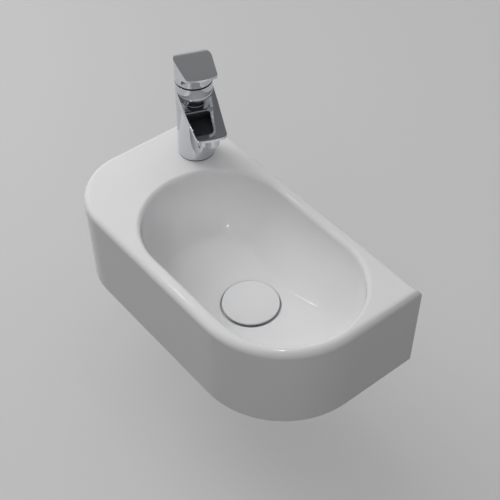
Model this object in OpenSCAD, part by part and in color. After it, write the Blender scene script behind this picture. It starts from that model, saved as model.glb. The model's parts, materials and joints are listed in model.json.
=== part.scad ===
// Wall-hung cloakroom basin with a single-lever tap and a push-to-open waste.
// The origin lies on the wall, midway between the two wall fixing holes.
// +X runs to the right along the wall, +Y into the wall and +Z up.

/* [Basin] */
// Width along the wall
basin_w = 400; // [390:1:440]
// Depth from the wall to the front
basin_d = 215; // [210:1:250]
// Height of the ceramic body
basin_h = 120; // [118:1:150]
// Radius of the front left corner, seen from above
left_corner_r = 81; // [60:1:95]
// Radius of the front right corner, seen from above
right_corner_r = 111; // [100:1:118]
// Radius of the rounded outer rim
rim_r = 9; // [4:0.5:9.5]
// How far each wall leans in at the bottom
wall_draft = 2.4; // [0.5:0.1:4]
// Thickness of the outer wall
wall_t = 10; // [8:0.5:11]
// Thickness of the back wall
back_t = 12; // [10:0.5:14]
// Thickness of the tap deck
deck_t = 12; // [10:0.5:16]

/* [Bowl] */
// Width of the tap deck on the left of the bowl
deck_w = 80; // [78:1:100]
// Ledge between the bowl and the right end
ledge_right = 9; // [9:0.5:20]
// Ledge between the bowl and the front
ledge_front = 12.2; // [12:0.1:20]
// Ledge between the bowl and the wall
ledge_back = 11.8; // [11.5:0.1:20]
// Depth of the bowl at the waste
bowl_depth = 92; // [80:1:94]
// Radius of the soft edge round the bowl
bowl_edge_r = 6; // [3:0.5:8]
// Fall of the bowl's floor towards the waste, in degrees
bowl_fall = 5; // [3:0.5:8]
// Thickness of the bowl's ceramic
bowl_t = 9; // [7:0.5:10]

/* [Wall fixing] */
// Distance between the two wall fixing holes
fix_spacing = 280; // [260:1:300]
// Depth of the fixing holes below the rim
fix_drop = 55; // [50:1:62]
// Radius of the fixing holes
fix_hole_r = 6; // [5:0.5:7]
// Radius of the pad round each fixing hole
fix_pad_r = 16; // [12:0.5:18]
// Thickness that the pad adds to the back wall
fix_pad_t = 4; // [2:0.5:5]

/* [Waste] */
// Radius of the waste hole in the ceramic
waste_hole_r = 23; // [22.5:0.1:24]
// Radius of the well that the flange and the cap lie in
well_r = 37.5; // [36.5:0.5:39]
// Depth of the well below the bowl's lowest point
well_depth = 0.5; // [0.3:0.1:2]
// Height of the ceramic round the waste hole
waste_land = 19; // [16:0.5:22]
// Radius of the boss under the bowl
waste_boss_r = 38; // [36:0.5:42]
// Radius of the waste flange
flange_r = 31.5; // [29:0.5:33]
// Thickness of the waste flange
flange_t = 2; // [1.5:0.1:2.4]
// Thickness of the washer under the flange
flange_washer_t = 1.5; // [1:0.1:2]
// Outer radius of the waste's threaded tail
tail_r = 20.955; // [20.5:0.005:21.2]
// Inner radius of the waste's tail
tail_bore_r = 17; // [16.5:0.1:17.6]
// Depth of the sloping seat inside the flange
seat_depth = 3; // [2.5:0.1:3.5]
// Extra radius at the top of the sloping seat
seat_rise = 4; // [3.5:0.1:4.5]
// Radius at which the tail's thread and its nut meet
tail_grip_r = 20.2; // [19.8:0.1:20.6]
// Length of the threaded tail below the nut
tail_free = 37; // [30:1:54]
// Radial clearance between the tail and what goes over it
tail_clear = 0.1; // [0.05:0.01:0.3]
// Thickness of the tapered washer under the ceramic
cone_washer_t = 7; // [5:0.5:10]
// Height of the waste's back nut
back_nut_h = 9; // [7:0.5:12]
// Width of the back nut across its flats
back_nut_af = 60; // [54:1:64]

/* [Waste cap] */
// Radius of the ceramic cap
cap_r = 35; // [33.5:0.5:35.5]
// Height of the cap's straight edge
cap_edge_h = 2.5; // [2:0.5:4]
// Rise of the cap's dome above its edge
cap_dome_h = 4; // [3:0.5:6]
// Gap between the cap's edge and the flange when it is shut
cap_gap = 2; // [1.8:0.1:2.4]
// How far the cap rises when it is opened
cap_travel = 8; // [5:0.5:9]
// Radius of the plastic carrier under the cap
carrier_r = 16; // [15.6:0.1:16.2]
// Thickness of the carrier's plate
carrier_t = 5; // [4.6:0.1:6]
// Radius of the seal ring's own section
seal_r = 1.5; // [1.3:0.1:1.6]
// Gap between the shut seal and its seat
seal_gap = 0.3; // [0.2:0.05:0.5]
// Radius of the mechanism's moving pin
click_pin_r = 4; // [3:0.1:5]
// Length of the moving pin
click_pin_l = 24; // [20:1:30]
// Radius of the pin's threaded tip
pin_tip_r = 2; // [1.5:0.1:2.5]
// Length of the pin's threaded tip
pin_tip_l = 3; // [2:0.5:3.5]
// Wall of the barrel that the pin slides in
click_wall = 3; // [2:0.5:4]
// Radial running clearance of the pin
click_clear = 0.06; // [0.03:0.01:0.1]

/* [Tap] */
// Distance from the basin's left end to the tap's axis
tap_from_left = 57.5; // [50:0.5:60]
// Distance from the wall to the tap's axis
tap_from_wall = 48.5; // [45:0.5:70]
// Turn of the spout towards the room, in degrees from the wall
tap_turn = 22; // [0:1:45]
// Radius of the tap's body
tap_r = 22.5; // [22:0.1:24]
// Height of the body above the deck
tap_h = 108; // [104:1:120]
// Radius of the tap hole
tap_hole_r = 17.5; // [17:0.1:18]
// Thickness of the gasket under the body
gasket_t = 1; // [0.5:0.1:2]
// Radius of the hollow in the body's base
base_hollow_r = 18.4; // [18.2:0.1:19]
// Height of the hollow in the body's base
base_hollow_h = 30; // [20:1:34]
// Distance of each inlet from the tap's middle plane
inlet_apart = 8; // [6.5:0.1:9]
// Radius of each inlet's threaded hole
inlet_r = 4.5; // [4:0.1:5]
// Length of each inlet's threaded hole
inlet_l = 12; // [10:0.5:16]
// Distance of the outlet port from the tap's axis
outlet_out = 9; // [8.6:0.1:9.4]
// Radius of the waterways
way_r = 2.6; // [2.3:0.1:2.8]

/* [Spout] */
// Distance from the tap's axis to the spout's nose
spout_reach = 81; // [80:0.5:95]
// Height of the nose's lower edge above the deck
nose_low = 77; // [75:0.5:80]
// Height of the nose's upper edge above its lower edge
nose_t = 3.5; // [3.3:0.1:5]
// Half width of the spout at its root
spout_root_w = 22.2; // [21:0.1:22.4]
// Half width of the spout at its nose
spout_nose_w = 17; // [16:0.1:19]
// Distance of the spout's upper edges below the body's top, at its sides
spout_drop = 0.2; // [0.1:0.1:2]
// Radius of the hollow curve of the spout's upper face
spout_curve_r = 177; // [160:1:300]
// Height of the spout's lower face where it leaves the body
spout_under = 82; // [80:0.5:83]
// Width of the web under the spout
web_w = 18.8; // [16:0.2:22]
// Width of the flat waterway in the spout
channel_w = 14; // [10:0.5:14]
// Wall over and under the flat waterway
channel_wall = 1.4; // [1.2:0.1:1.5]

/* [Aerator] */
// Distance from the tap's axis to the aerator's axis
aerator_reach = 69; // [67:0.5:69]
// Radius of the aerator's ring
aerator_r = 10.8; // [10.5:0.1:12]
// Height of the aerator's visible ring
aerator_h = 6.5; // [5:0.5:8]
// Height of the boss that holds the aerator below the nose
aerator_boss_h = 5.5; // [4:0.5:7]
// Radius of the thread on the aerator
aerator_thread_r = 9.4; // [9:0.1:9.5]
// Length of the thread on the aerator
aerator_thread_h = 6; // [5:0.5:6.5]
// Thickness of the washer above the aerator
aerator_washer_t = 1.5; // [1:0.1:2]
// Radius of the aerator's insert
insert_r = 7.6; // [7:0.1:8]
// Radius of each jet hole in the insert
jet_r = 0.9; // [0.6:0.1:1]

/* [Lever] */
// Height of the lever's top above the top of the body
lever_h = 30; // [29:0.5:36]
// Distance from the tap's axis to the lever's front edge
lever_reach = 44.5; // [40:0.5:60]
// Half width of the lever at its front
lever_front_w = 18.8; // [17:0.1:21]
// Thickness of the lever's front edge
lever_edge_t = 2.6; // [2:0.1:5]
// Radius of the rounding at the lever's back
lever_back_r = 15.4; // [12:0.1:16]
// Gap between the lever and the body
lever_gap = 0.7; // [0.6:0.1:1.2]
// How far the lever lifts, in degrees
lever_lift = 22; // [15:1:22]
// Radius of the set screw
set_screw_r = 2.5; // [2:0.1:2.6]
// Length of the set screw
set_screw_l = 9; // [7:0.5:11]
// Distance of the set screw below the stem's top
set_screw_drop = 4; // [3.5:0.1:5]
// Radius of the plug over the set screw
plug_r = 3.5; // [3:0.1:4]
// Thickness of the plug
plug_t = 3; // [2:0.5:4]

/* [Cartridge] */
// Radius of the cartridge's housing
cart_r = 17.5; // [17:0.1:17.6]
// Height of the cartridge's housing up to its shoulder
cart_h = 22; // [21:0.5:23]
// Depth of the lever's pivot below the body's top
pivot_drop = 4; // [3.5:0.1:4.5]
// Width of the square stem
stem_w = 7; // [6:0.1:7.2]
// Radius of the pin that the stem rocks on
stem_pin_r = 1.5; // [1:0.1:1.8]
// Radius of the rotor that turns in the housing's neck
rotor_r = 9; // [8.9:0.1:9.2]
// Radius of the retaining nut
ring_nut_r = 18.9; // [18.8:0.1:19.2]
// Height of the retaining nut
ring_nut_h = 9.5; // [8.5:0.5:9.5]
// Wall of the dome that covers the cartridge
cover_t = 1.5; // [1:0.1:1.6]
// Radial running clearance in the cartridge
cart_clear = 0.06; // [0.03:0.01:0.1]

/* [Tap fixing] */
// Radius of the fixing stud
stud_r = 4; // [3:0.1:4.2]
// Length of the stud below the deck's underside
stud_free = 40; // [20:1:60]
// Distance of the stud behind the tap's axis
stud_back = 10; // [9.5:0.1:10.5]
// Radius of the horseshoe washers
shoe_r = 24; // [23:0.5:25]
// Half width of the horseshoe's slot
shoe_slot_w = 13.5; // [13:0.1:14.5]
// Thickness of the rubber horseshoe
shoe_rubber_t = 3; // [2:0.5:4]
// Thickness of the steel horseshoe
shoe_steel_t = 2; // [1:0.1:3]
// Width of the stud's nut across its flats
stud_nut_af = 13; // [12.5:0.5:14]
// Height of the stud's nut
stud_nut_h = 8; // [6:0.5:12]

/* [Hidden] */

// Facets on the large and the small round faces
big_fn = 96;
small_fn = 48;
// How far a cutting shape runs past the face that it cuts
over = 1;
// Gap between two still pieces that lie in each other
seat = 0.1;
// Gap between a thread and its nut or its hole
thread_clear = 0.05;

// Heights: zero is the wall fixing line, rim_z is the top of the basin
rim_z = fix_drop;

// The bowl, from the basin and its ledges; its top follows the soft edge
bowl_top_r = (basin_d - ledge_front - ledge_back) / 2;
bowl_r = bowl_top_r - bowl_edge_r;
bowl_half = (basin_w - deck_w - ledge_right) / 2 - bowl_top_r;
bowl_x = (deck_w - ledge_right) / 2;
bowl_y = -(ledge_back + bowl_top_r);
// Exponents of the bowl's section, across and down
bowl_flat = 3;
bowl_steep = 2;
bowl_steps = 14;

// The waste, all heights below the rim
well_z = -(bowl_depth + well_depth);
land_z = well_z - flange_washer_t;
land_low_z = land_z - waste_land;
flange_top_z = well_z + flange_t;
nut_low_z = land_low_z - cone_washer_t - back_nut_h;
tail_end_z = nut_low_z - tail_free;
cap_low_z = flange_top_z + cap_gap;
seat_low_z = flange_top_z - seat_depth;
carrier_low_z = cap_low_z - carrier_t;
// The seal lies in the carrier's groove, clear of the sloping seat
seal_bite = 0.6;
seal_out = carrier_r + seal_r - seal_bite;
seat_slant = norm([seat_rise, seat_depth]);
seal_z = seat_low_z + (seat_slant * (seal_r + seal_gap) - seat_depth * (tail_bore_r - seal_out)) / seat_rise;
// The barrel's mouth is this far below the carrier, and the pin's end this far off its floor
barrel_gap = 1.5;
pin_gap = 1;
barrel_top_z = carrier_low_z - barrel_gap;
pin_low_z = carrier_low_z - click_pin_l;
barrel_low_z = pin_low_z - pin_gap - click_wall;
spoke_w = 3;
spoke_h = 5;
spoke_drop = 6;

// The tap, heights above the deck
tap_x = tap_from_left - basin_w / 2;
tap_y = -tap_from_wall;
pivot_z = tap_h - pivot_drop;
lever_top = tap_h + lever_h;
ring_nut_sink = 1.5;
ring_nut_low = tap_h - ring_nut_sink - ring_nut_h;
cart_low = ring_nut_low - cart_h;
cart_seal_t = 1;
chamber_low = cart_low - cart_seal_t;
chamber_r = cart_r + seat;
neck_r = rotor_r + 2.6;
neck_top = pivot_z + 1;
stem_top = lever_top - 6;
stem_low = pivot_z - 7;
stem_sweep = 1.3;
cover_r = ring_nut_r - 0.3;
hollow_r = cover_r + 0.9;
cover_hole_r = 12;
spout_root = tap_r;
screw_z = stem_top - set_screw_drop;
plug_sink = 5;
pin_press = 0.02;
turn_extra = 0.4;
boss_low = nose_low - aerator_boss_h;
boss_r = aerator_r + 0.7;
aerator_top = boss_low + aerator_thread_h + aerator_washer_t;
disc_t = 3.2;
disc_gap = 0.2;
cart_floor_t = 3;
disc_low = cart_low + cart_floor_t;
rotor_low = disc_low + 2 * (disc_t + disc_gap);
rotor_base_t = 3.2;
can_high = rotor_low + rotor_base_t + 0.5;
can_r = cart_r - 3.5;

module in_rim_frame() {
    translate([0, 0, rim_z])
        children();
}

module at_waste() {
    translate([bowl_x, bowl_y, rim_z])
        children();
}

module at_tap() {
    translate([tap_x, tap_y, rim_z])
        rotate([0, 0, -tap_turn])
            children();
}

// Turns a side view, drawn with x forward and y up, into a solid of the given width
module from_side(width) {
    rotate([90, 0, 0])
        linear_extrude(width, center = true)
            children();
}

module ring(r_out, r_in, low, high, sides = small_fn) {
    difference() {
        translate([0, 0, low])
            cylinder(r = r_out, h = high - low, $fn = sides);
        translate([0, 0, low - over])
            cylinder(r = r_in, h = high - low + 2 * over, $fn = small_fn);
    }
}

// Section of the outer wall: it leans in below and is rounded at the rim
module wall_section(reach) {
    polygon([
        [0, 0], [reach - rim_r, 0], [reach, -rim_r], [reach - wall_draft, -basin_h], [0, -basin_h]
    ]);
    translate([reach - rim_r, -rim_r])
        circle(r = rim_r, $fn = big_fn);
}

// The whole outer block: three straight runs and two rounded corners
module block() {
    left_x = -basin_w / 2 + left_corner_r;
    right_x = basin_w / 2 - right_corner_r;
    translate([left_x, 0, 0])
        mirror([1, 0, 0])
            rotate([90, 0, 0])
                linear_extrude(basin_d - left_corner_r)
                    wall_section(left_corner_r);
    translate([right_x, 0, 0])
        rotate([90, 0, 0])
            linear_extrude(basin_d - right_corner_r)
                wall_section(right_corner_r);
    translate([right_x, 0, 0])
        rotate([0, 0, -90])
            rotate([90, 0, 0])
                linear_extrude(right_x - left_x)
                    wall_section(basin_d);
    translate([left_x, left_corner_r - basin_d, 0])
        rotate([0, 0, 180])
            rotate_extrude(angle = 90, $fn = big_fn)
                wall_section(left_corner_r);
    translate([right_x, right_corner_r - basin_d, 0])
        rotate([0, 0, 270])
            rotate_extrude(angle = 90, $fn = big_fn)
                wall_section(right_corner_r);
}

// Plan of the open space under the deck, inside the outer walls
module under_plan() {
    left_r = left_corner_r - wall_t;
    right_r = right_corner_r - wall_t;
    left_x = -basin_w / 2 + left_corner_r;
    right_x = basin_w / 2 - right_corner_r;
    intersection() {
        union() {
            translate([left_x, left_corner_r - basin_d])
                circle(r = left_r, $fn = big_fn);
            translate([right_x, right_corner_r - basin_d])
                circle(r = right_r, $fn = big_fn);
            translate([left_x, wall_t - basin_d])
                square([right_x - left_x, basin_d]);
            translate([wall_t - basin_w / 2, left_corner_r - basin_d])
                square([left_r, basin_d]);
            translate([right_x, right_corner_r - basin_d])
                square([right_r, basin_d]);
        }
        translate([-basin_w / 2, -basin_d])
            square([basin_w, basin_d - back_t]);
    }
}

// Points down one side of the bowl's section, from the wall to the middle
function bowl_side(side, grow) = [
    for (i = [0 : bowl_steps])
        let (
            t = 90 * i / bowl_steps,
            out = side * (bowl_r + grow) * pow(cos(t), 2 / bowl_flat),
            down = (bowl_depth + grow - bowl_edge_r) * pow(sin(t), 2 / bowl_steep)
        )
        [out, -bowl_edge_r - down]
];

function turned(points) = [for (i = [len(points) - 1 : -1 : 0]) points[i]];

// Section across the bowl; the soft edge belongs to the inside alone
module bowl_section(grow) {
    right = bowl_side(1, grow);
    left = turned(bowl_side(-1, grow));
    inner = grow == 0;
    top = inner ? over : -rim_r;
    polygon(concat(
        [[bowl_r + grow, top]],
        right,
        [for (i = [1 : len(left) - 1]) left[i]],
        [[-bowl_r - grow, top]]
    ));
    if (inner)
        difference() {
            translate([-bowl_top_r, -bowl_edge_r])
                square([2 * bowl_top_r, bowl_edge_r + over]);
            for (side = [-1, 1])
                translate([side * bowl_top_r, -bowl_edge_r])
                    circle(r = bowl_edge_r, $fn = small_fn);
        }
}

module half_bowl_section(grow) {
    intersection() {
        bowl_section(grow);
        translate([0, -basin_h])
            square([basin_d, 2 * basin_h]);
    }
}

// The bowl's room: two round ends, a straight middle and a floor that falls to the waste
module bowl_room(grow) {
    reach = bowl_half + bowl_top_r + bowl_t;
    floor_z = -bowl_depth - grow;
    translate([bowl_x, bowl_y, 0])
        intersection() {
            union() {
                translate([bowl_half, 0, 0])
                    rotate([0, 0, -90])
                        rotate_extrude(angle = 180, $fn = big_fn)
                            half_bowl_section(grow);
                translate([-bowl_half, 0, 0])
                    rotate([0, 0, 90])
                        rotate_extrude(angle = 180, $fn = big_fn)
                            half_bowl_section(grow);
                translate([-bowl_half, 0, 0])
                    rotate([90, 0, 90])
                        linear_extrude(2 * bowl_half)
                            bowl_section(grow);
            }
            from_side(2 * basin_d)
                polygon([
                    [0, floor_z], [reach, floor_z + reach * tan(bowl_fall)], [reach, 2 * over],
                    [-reach, 2 * over], [-reach, floor_z + reach * tan(bowl_fall)]
                ]);
        }
}

module fixing_places() {
    for (side = [-1, 1])
        translate([side * fix_spacing / 2, 0, -fix_drop])
            rotate([90, 0, 0])
                children();
}

module basin() {
    color("white")
        in_rim_frame()
            difference() {
                union() {
                    difference() {
                        block();
                        translate([0, 0, -basin_h - over])
                            linear_extrude(basin_h - deck_t + over)
                                under_plan();
                    }
                    bowl_room(bowl_t);
                    translate([bowl_x, bowl_y, land_low_z])
                        cylinder(r = waste_boss_r, h = waste_land, $fn = big_fn);
                    fixing_places()
                        translate([0, 0, back_t / 2])
                            cylinder(r = fix_pad_r, h = back_t / 2 + fix_pad_t, $fn = small_fn);
                }
                bowl_room(0);
                translate([bowl_x, bowl_y, land_z])
                    cylinder(r = well_r, h = -land_z - bowl_depth / 2, $fn = big_fn);
                translate([bowl_x, bowl_y, land_low_z - over])
                    cylinder(r = waste_hole_r, h = waste_land + 2 * over, $fn = big_fn);
                translate([tap_x, tap_y, -deck_t - over])
                    cylinder(r = tap_hole_r, h = deck_t + 2 * over, $fn = big_fn);
                fixing_places()
                    translate([0, 0, -over])
                        cylinder(r = fix_hole_r, h = back_t + fix_pad_t + 2 * over, $fn = small_fn);
            }
}

// Flange and tail in one piece, with a step inside that the seal shuts on
module waste_flange() {
    color("silver")
        at_waste()
            difference() {
                union() {
                    translate([0, 0, well_z])
                        cylinder(r = flange_r, h = flange_t, $fn = big_fn);
                    translate([0, 0, nut_low_z])
                        cylinder(r = tail_grip_r, h = well_z - nut_low_z, $fn = big_fn);
                    translate([0, 0, tail_end_z])
                        cylinder(r = tail_r, h = tail_free, $fn = big_fn);
                }
                translate([0, 0, tail_end_z - over])
                    cylinder(r = tail_bore_r, h = flange_top_z - tail_end_z + 2 * over, $fn = big_fn);
                translate([0, 0, seat_low_z])
                    cylinder(r1 = tail_bore_r, r2 = tail_bore_r + seat_rise, h = seat_depth, $fn = big_fn);
                translate([0, 0, flange_top_z])
                    cylinder(r = tail_bore_r + seat_rise, h = over, $fn = big_fn);
            }
}

module waste_flange_washer() {
    color("dimgray")
        at_waste()
            ring(flange_r - 1, tail_r + tail_clear, land_z, well_z, big_fn);
}

module waste_cone_washer() {
    color("dimgray")
        at_waste()
            difference() {
                translate([0, 0, land_low_z - cone_washer_t])
                    cylinder(r1 = back_nut_af / 2 - 1, r2 = waste_hole_r + 3, h = cone_washer_t, $fn = big_fn);
                translate([0, 0, land_low_z - cone_washer_t - over])
                    cylinder(r = tail_r + tail_clear, h = cone_washer_t + 2 * over, $fn = big_fn);
            }
}

module waste_back_nut() {
    rim_t = 2;
    color("gold")
        at_waste()
            translate([0, 0, nut_low_z])
                difference() {
                    union() {
                        cylinder(d = back_nut_af / cos(30), h = back_nut_h - rim_t, $fn = 6);
                        translate([0, 0, back_nut_h - rim_t])
                            cylinder(d = back_nut_af / cos(30), h = rim_t, $fn = big_fn);
                    }
                    translate([0, 0, -over])
                        cylinder(r = tail_grip_r + thread_clear, h = back_nut_h + 2 * over, $fn = big_fn);
                }
}

// Barrel of the mechanism on three spokes across the tail
module waste_click_barrel() {
    barrel_h = barrel_top_z - barrel_low_z;
    spoke_z = barrel_top_z - spoke_drop - spoke_h;
    color("silver")
        at_waste()
            difference() {
                union() {
                    translate([0, 0, barrel_low_z])
                        cylinder(r = click_pin_r + click_wall, h = barrel_h, $fn = small_fn);
                    intersection() {
                        translate([0, 0, spoke_z])
                            cylinder(r = tail_bore_r - seat, h = spoke_h, $fn = big_fn);
                        for (turn = [0, 120, 240])
                            rotate([0, 0, turn])
                                translate([0, -spoke_w / 2, spoke_z])
                                    cube([tail_bore_r, spoke_w, spoke_h]);
                    }
                }
                translate([0, 0, barrel_low_z + click_wall])
                    cylinder(r = click_pin_r + click_clear, h = barrel_h, $fn = small_fn);
            }
}

module waste_click_pin() {
    color("silver")
        at_waste() {
            translate([0, 0, pin_low_z])
                cylinder(r = click_pin_r, h = click_pin_l, $fn = small_fn);
            translate([0, 0, carrier_low_z - over])
                cylinder(r = pin_tip_r, h = pin_tip_l + over, $fn = small_fn);
        }
}

module seal_circle(clear) {
    translate([0, 0, seal_z])
        rotate_extrude($fn = big_fn)
            translate([seal_out, 0])
                circle(r = seal_r + clear, $fn = small_fn);
}

module waste_cap_carrier() {
    color("whitesmoke")
        at_waste()
            difference() {
                translate([0, 0, carrier_low_z])
                    cylinder(r = carrier_r, h = carrier_t, $fn = big_fn);
                translate([0, 0, carrier_low_z - over])
                    cylinder(r = pin_tip_r + thread_clear, h = pin_tip_l + 2 * over, $fn = small_fn);
                seal_circle(thread_clear);
            }
}

module waste_cap_seal() {
    color("dimgray")
        at_waste()
            seal_circle(0);
}

// Ceramic cap: a low dome with a straight edge
module waste_cap() {
    dome_r = (pow(cap_r, 2) + pow(cap_dome_h, 2)) / (2 * cap_dome_h);
    dome_z = cap_low_z + cap_edge_h + cap_dome_h - dome_r;
    color("white")
        at_waste()
            rotate_extrude($fn = big_fn)
                intersection() {
                    translate([0, dome_z])
                        circle(r = dome_r, $fn = 4 * big_fn);
                    translate([0, cap_low_z])
                        square([cap_r, cap_edge_h + cap_dome_h + over]);
                }
}

// Plan of the spout: it narrows from the root to a rounded nose
module spout_plan() {
    corner = 4.5;
    nose = spout_reach - 0.5;
    polygon([
        [0, tap_r - 0.1], [spout_root, spout_root_w], [nose - corner, spout_nose_w],
        [nose, spout_nose_w - corner], [spout_reach, 0], [nose, corner - spout_nose_w],
        [nose - corner, -spout_nose_w], [spout_root, -spout_root_w], [0, 0.1 - tap_r]
    ]);
    for (side = [-1, 1])
        translate([nose - corner, side * (spout_nose_w - corner)])
            circle(r = corner, $fn = small_fn);
}

// Middle of the round that hollows the spout's upper face, seen from the side
function curve_middle() =
    let (
        from = [-1, tap_h - spout_drop],
        to = [spout_reach, nose_low + nose_t],
        run = to - from,
        rise = sqrt(pow(spout_curve_r, 2) - pow(norm(run) / 2, 2)) / norm(run)
    )
        (from + to) / 2 + rise * [-run[1], run[0]];

// Height of the spout's lower face, at a distance out from the tap's axis
function under_at(out) = spout_under - (spout_under - nose_low) * (out - spout_root) / (spout_reach - spout_root);

// Round that hollows the spout's upper face
module spout_round(radius) {
    middle = curve_middle();
    translate([middle[0], 0, middle[1]])
        rotate([90, 0, 0])
            cylinder(r = radius, h = 4 * tap_r, center = true, $fn = 4 * big_fn);
}

// Side view of the spout, before its upper face is hollowed
module spout_side() {
    polygon([
        [0, tap_h - spout_drop / 2], [spout_reach, tap_h - spout_drop / 2],
        [spout_reach, nose_low], [spout_root, spout_under], [0, spout_under]
    ]);
}

// Flat waterway along the spout, which opens into the top of the aerator's thread
module spout_channel(start) {
    into = aerator_reach - aerator_thread_r + 1;
    end = aerator_reach + 5;
    difference() {
        from_side(channel_w)
            polygon([
                [start, under_at(start) + channel_wall], [into, under_at(into) + channel_wall],
                [into, aerator_top - 0.5], [end, aerator_top - 0.5], [end, tap_h], [start, tap_h]
            ]);
        spout_round(spout_curve_r + channel_wall);
    }
}

// Web under the spout's root, which holds the waterway
module spout_web() {
    from_side(web_w)
        polygon([
            [0, chamber_low - 14], [spout_root + 1, chamber_low - 10], [spout_root + 10, chamber_low - 1],
            [spout_root + 28, spout_under - 2], [0, spout_under + 1]
        ]);
}

// Straight waterway between two points of the tap's middle plane, with a round turn at its end
module waterway(from, to) {
    run = [to[0] - from[0], to[1] - from[1]];
    translate([from[0], 0, from[1]])
        rotate([0, 90 - atan2(run[1], run[0]), 0])
            cylinder(r = way_r, h = norm(run), $fn = small_fn);
    translate([to[0], 0, to[1]])
        sphere(r = way_r + turn_extra, $fn = small_fn);
}

module tap_body() {
    bend = [spout_root + 14.5, spout_under + 2.6];
    low_turn = [outlet_out, chamber_low - 12];
    color("silver")
        at_tap()
            difference() {
                union() {
                    translate([0, 0, gasket_t])
                        cylinder(r = tap_r, h = tap_h - gasket_t, $fn = big_fn);
                    intersection() {
                        translate([0, 0, nose_low - over])
                            linear_extrude(tap_h - nose_low)
                                spout_plan();
                        difference() {
                            from_side(2 * tap_r + over)
                                spout_side();
                            spout_round(spout_curve_r);
                        }
                    }
                    spout_web();
                    translate([aerator_reach, 0, boss_low])
                        cylinder(r = boss_r, h = aerator_boss_h + 3, $fn = small_fn);
                }
                translate([0, 0, chamber_low])
                    cylinder(r = chamber_r, h = tap_h, $fn = big_fn);
                translate([0, 0, ring_nut_low])
                    cylinder(r = ring_nut_r + thread_clear, h = tap_h, $fn = big_fn);
                translate([0, 0, gasket_t - over])
                    cylinder(r = base_hollow_r, h = base_hollow_h + over, $fn = big_fn);
                for (side = [-1, 1])
                    translate([2, side * inlet_apart, gasket_t + base_hollow_h - over]) {
                        cylinder(r = inlet_r, h = inlet_l + over, $fn = small_fn);
                        cylinder(r = way_r, h = tap_h / 2, $fn = small_fn);
                    }
                translate([-stud_back, 0, gasket_t + base_hollow_h - over])
                    cylinder(r = stud_r + thread_clear, h = inlet_l + over, $fn = small_fn);
                waterway([outlet_out, chamber_low + over], low_turn);
                waterway(low_turn, bend);
                spout_channel(bend[0] - 2 * way_r);
                translate([aerator_reach, 0, boss_low - over])
                    cylinder(r = aerator_thread_r + thread_clear, h = aerator_top - boss_low + over, $fn = small_fn);
            }
}

module tap_gasket() {
    color("dimgray")
        at_tap()
            ring(tap_r - 0.4, base_hollow_r + 0.3, 0, gasket_t, big_fn);
}

module tap_stud() {
    color("lightgray")
        at_tap()
            translate([-stud_back, 0, -deck_t - stud_free])
                cylinder(r = stud_r, h = stud_free + deck_t + gasket_t + base_hollow_h + inlet_l - 1, $fn = small_fn);
}

// Horseshoe under the deck: its slot lets the supply hoses through
module horseshoe(high, thick) {
    at_tap()
        translate([0, 0, high - thick])
            difference() {
                cylinder(r = shoe_r, h = thick, $fn = big_fn);
                translate([-4, -shoe_slot_w, -over])
                    cube([2 * shoe_r, 2 * shoe_slot_w, thick + 2 * over]);
                translate([-stud_back, 0, -over])
                    cylinder(r = stud_r + seat, h = thick + 2 * over, $fn = small_fn);
            }
}

module tap_shoe_rubber() {
    color("dimgray")
        horseshoe(-deck_t, shoe_rubber_t);
}

module tap_shoe_steel() {
    color("lightgray")
        horseshoe(-deck_t - shoe_rubber_t, shoe_steel_t);
}

module tap_stud_nut() {
    high = -deck_t - shoe_rubber_t - shoe_steel_t;
    color("gold")
        at_tap()
            translate([-stud_back, 0, high - stud_nut_h])
                difference() {
                    cylinder(d = stud_nut_af / cos(30), h = stud_nut_h, $fn = 6);
                    translate([0, 0, -over])
                        cylinder(r = stud_r + thread_clear, h = stud_nut_h + 2 * over, $fn = small_fn);
                }
}

module at_aerator() {
    at_tap()
        translate([aerator_reach, 0, 0])
            children();
}

module aerator_ring() {
    low = boss_low - aerator_h;
    color("silver")
        at_aerator()
            difference() {
                union() {
                    translate([0, 0, low])
                        cylinder(r = aerator_r - 1.5, h = 1.5, $fn = small_fn);
                    translate([0, 0, low + 1.5])
                        cylinder(r = aerator_r, h = aerator_h - 1.5, $fn = small_fn);
                    translate([0, 0, boss_low])
                        cylinder(r = aerator_thread_r, h = aerator_thread_h, $fn = small_fn);
                }
                translate([0, 0, low - over])
                    cylinder(r = insert_r - 0.6, h = 1 + over, $fn = small_fn);
                translate([0, 0, low + 1])
                    cylinder(r = insert_r + seat, h = aerator_h + aerator_thread_h, $fn = small_fn);
            }
}

// Insert with two rings of jets round a middle one
module aerator_insert() {
    low = boss_low - aerator_h + 1;
    high = boss_low + aerator_thread_h - 1;
    color("gainsboro")
        at_aerator()
            difference() {
                translate([0, 0, low])
                    cylinder(r = insert_r, h = high - low, $fn = small_fn);
                for (row = [0 : 2])
                    for (k = [0 : max(6 * row, 1) - 1])
                        rotate([0, 0, 360 * k / max(6 * row, 1)])
                            translate([row * insert_r / 3.2, 0, low - over])
                                cylinder(r = jet_r, h = high - low + 2 * over, $fn = 16);
            }
}

module aerator_washer() {
    low = boss_low + aerator_thread_h;
    color("dimgray")
        at_aerator()
            ring(aerator_thread_r - 0.3, insert_r - 1, low, aerator_top);
}

// Housing: a can for the discs with a neck that the rotor turns in
module cartridge_housing() {
    color("ivory")
        at_tap()
            difference() {
                union() {
                    translate([0, 0, cart_low])
                        cylinder(r = cart_r, h = cart_h, $fn = big_fn);
                    translate([0, 0, cart_low])
                        cylinder(r = neck_r, h = neck_top - cart_low, $fn = big_fn);
                }
                translate([0, 0, disc_low])
                    cylinder(r = can_r, h = can_high - disc_low, $fn = big_fn);
                translate([0, 0, disc_low])
                    cylinder(r = rotor_r + cart_clear, h = tap_h, $fn = big_fn);
                cartridge_ports(cart_low - over, cart_floor_t + 2 * over);
            }
}

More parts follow.
